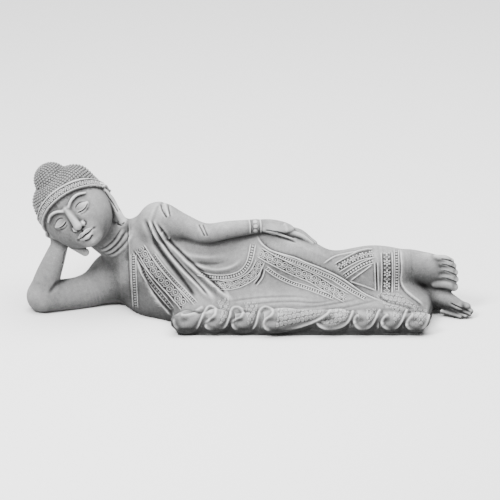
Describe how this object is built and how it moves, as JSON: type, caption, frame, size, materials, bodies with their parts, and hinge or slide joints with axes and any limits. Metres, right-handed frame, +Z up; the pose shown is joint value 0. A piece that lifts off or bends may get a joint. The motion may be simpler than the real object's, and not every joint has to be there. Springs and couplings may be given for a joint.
{
  "type": "reclining buddha statue",
  "caption": "Garden statue of a reclining buddha in a pleated robe, lying on its side with the head propped on one hand, cast in grey stone.",
  "frame": {"origin": "middle of the bounding box in X and Y, on the ground under the statue", "axes": "+X from the propped head to the feet, -Y the front that the figure shows, +Z up"},
  "size_m": [0.8002, 0.2268, 0.2685],
  "materials": {
    "cast_stone": "matt grey cast concrete, paler on raised edges and darker in recesses"
  },
  "bodies": {
    "root": {"reclining_buddha": "cast_stone"}
  },
  "joints": []
}
